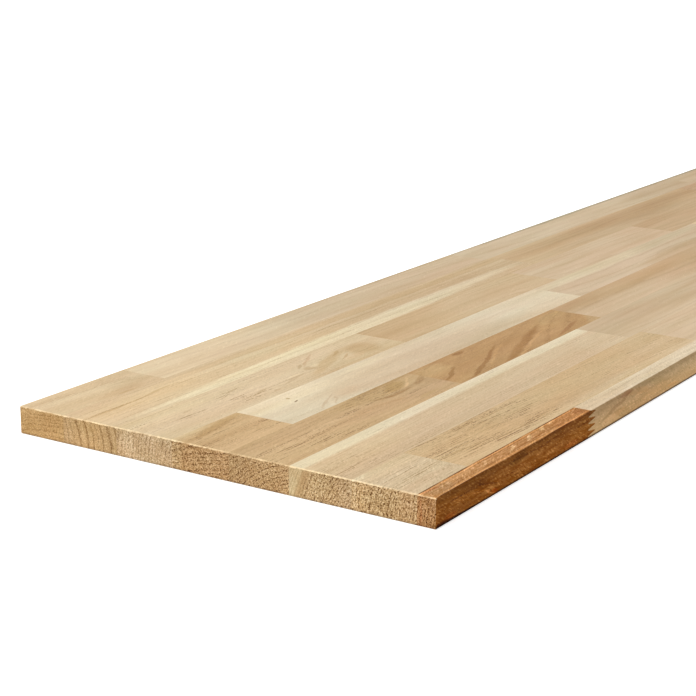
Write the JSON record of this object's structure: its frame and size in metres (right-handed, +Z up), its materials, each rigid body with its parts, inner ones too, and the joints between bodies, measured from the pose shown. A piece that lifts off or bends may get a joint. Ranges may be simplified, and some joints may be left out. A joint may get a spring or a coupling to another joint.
{
  "type": "glued laminated wood panel",
  "caption": "Flat board of hardwood staves, finger jointed end to end into rows and glued edge to edge, with sanded faces and eased edges, for shelves and furniture.",
  "frame": {"origin": "middle of the underside, on the surface that the panel lies on", "axes": "+X along the grain and the length, towards the far end; +Y across the rows, from the long edge with the narrow strip to the other long edge; +Z up through the thickness"},
  "size_m": [2, 0.3, 0.018],
  "materials": {
    "tan_heartwood": "sanded, unfinished",
    "pale_sapwood": "sanded, unfinished",
    "brown_heartwood": "sanded, unfinished",
    "dark_red_heartwood": "sanded, unfinished"
  },
  "bodies": {
    "root": {"row_1_stave_1": "dark_red_heartwood", "row_1_stave_2": "pale_sapwood", "row_1_stave_3": "tan_heartwood", "row_1_stave_4": "tan_heartwood", "row_1_stave_5": "pale_sapwood", "row_1_stave_6": "brown_heartwood", "row_2_stave_1": "pale_sapwood", "row_2_stave_2": "tan_heartwood", "row_2_stave_3": "tan_heartwood", "row_2_stave_4": "tan_heartwood", "row_2_stave_5": "brown_heartwood", "row_2_stave_6": "tan_heartwood", "row_2_stave_7": "pale_sapwood", "row_3_stave_1": "tan_heartwood", "row_3_stave_2": "tan_heartwood", "row_3_stave_3": "tan_heartwood", "row_3_stave_4": "brown_heartwood", "row_3_stave_5": "tan_heartwood", "row_3_stave_6": "tan_heartwood", "row_4_stave_1": "tan_heartwood", "row_4_stave_2": "brown_heartwood", "row_4_stave_3": "tan_heartwood", "row_4_stave_4": "pale_sapwood", "row_4_stave_5": "tan_heartwood", "row_4_stave_6": "brown_heartwood", "row_4_stave_7": "tan_heartwood", "row_5_stave_1": "tan_heartwood", "row_5_stave_2": "pale_sapwood", "row_5_stave_3": "tan_heartwood", "row_5_stave_4": "tan_heartwood", "row_5_stave_5": "pale_sapwood", "row_5_stave_6": "tan_heartwood", "row_5_stave_7": "brown_heartwood", "row_6_stave_1": "tan_heartwood", "row_6_stave_2": "tan_heartwood", "row_6_stave_3": "tan_heartwood", "row_6_stave_4": "brown_heartwood", "row_6_stave_5": "tan_heartwood", "row_6_stave_6": "pale_sapwood", "row_6_stave_7": "tan_heartwood", "row_7_stave_1": "tan_heartwood", "row_7_stave_2": "brown_heartwood", "row_7_stave_3": "tan_heartwood", "row_7_stave_4": "pale_sapwood", "row_7_stave_5": "tan_heartwood", "row_8_stave_1": "tan_heartwood", "row_8_stave_2": "tan_heartwood", "row_8_stave_3": "tan_heartwood", "row_8_stave_4": "tan_heartwood", "row_8_stave_5": "brown_heartwood", "row_8_stave_6": "tan_heartwood"}
  },
  "joints": []
}
